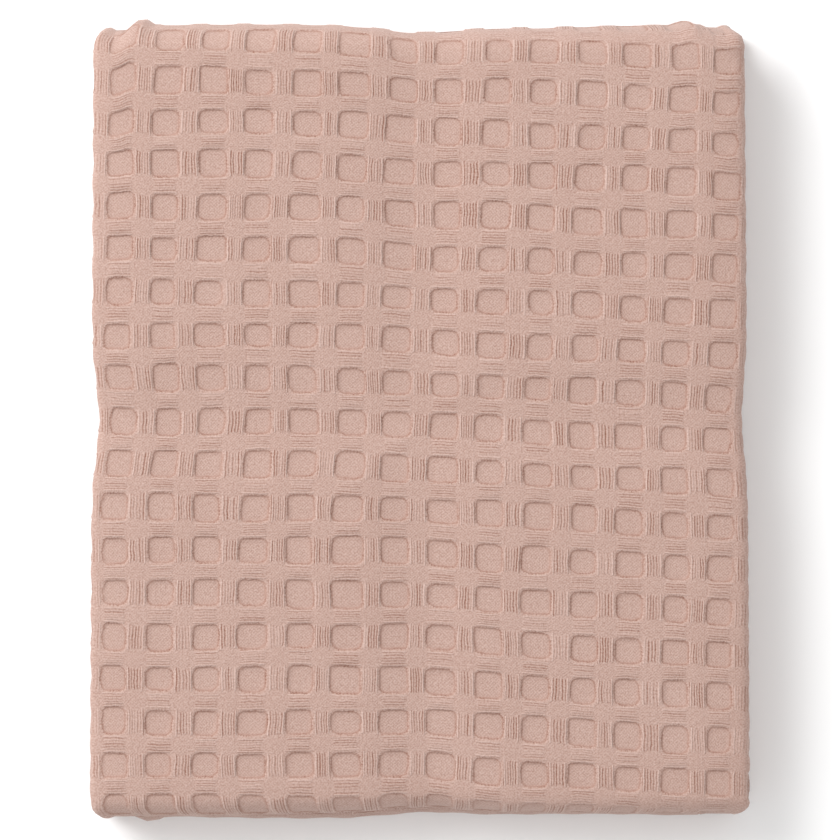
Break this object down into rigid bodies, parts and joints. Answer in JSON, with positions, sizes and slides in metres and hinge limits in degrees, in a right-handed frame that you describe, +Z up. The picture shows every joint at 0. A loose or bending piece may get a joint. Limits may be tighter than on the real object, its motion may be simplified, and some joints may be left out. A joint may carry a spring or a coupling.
{
  "type": "folded waffle weave cotton blanket",
  "caption": "Soft pink waffle weave cotton blanket, folded in both directions into a flat rectangular stack of layers with rounded fold edges.",
  "frame": {"origin": "middle of the folded blanket's underside, on the surface it lies on", "axes": "+Z up through the layers, +Y along the longer side towards the thick wrapped fold, +X across towards the side with the free hems"},
  "size_m": [0.25, 0.3017, 0.0392],
  "materials": {
    "waffle_cotton": "matt waffle weave cotton"
  },
  "bodies": {
    "root": {"blanket": "waffle_cotton"}
  },
  "joints": []
}
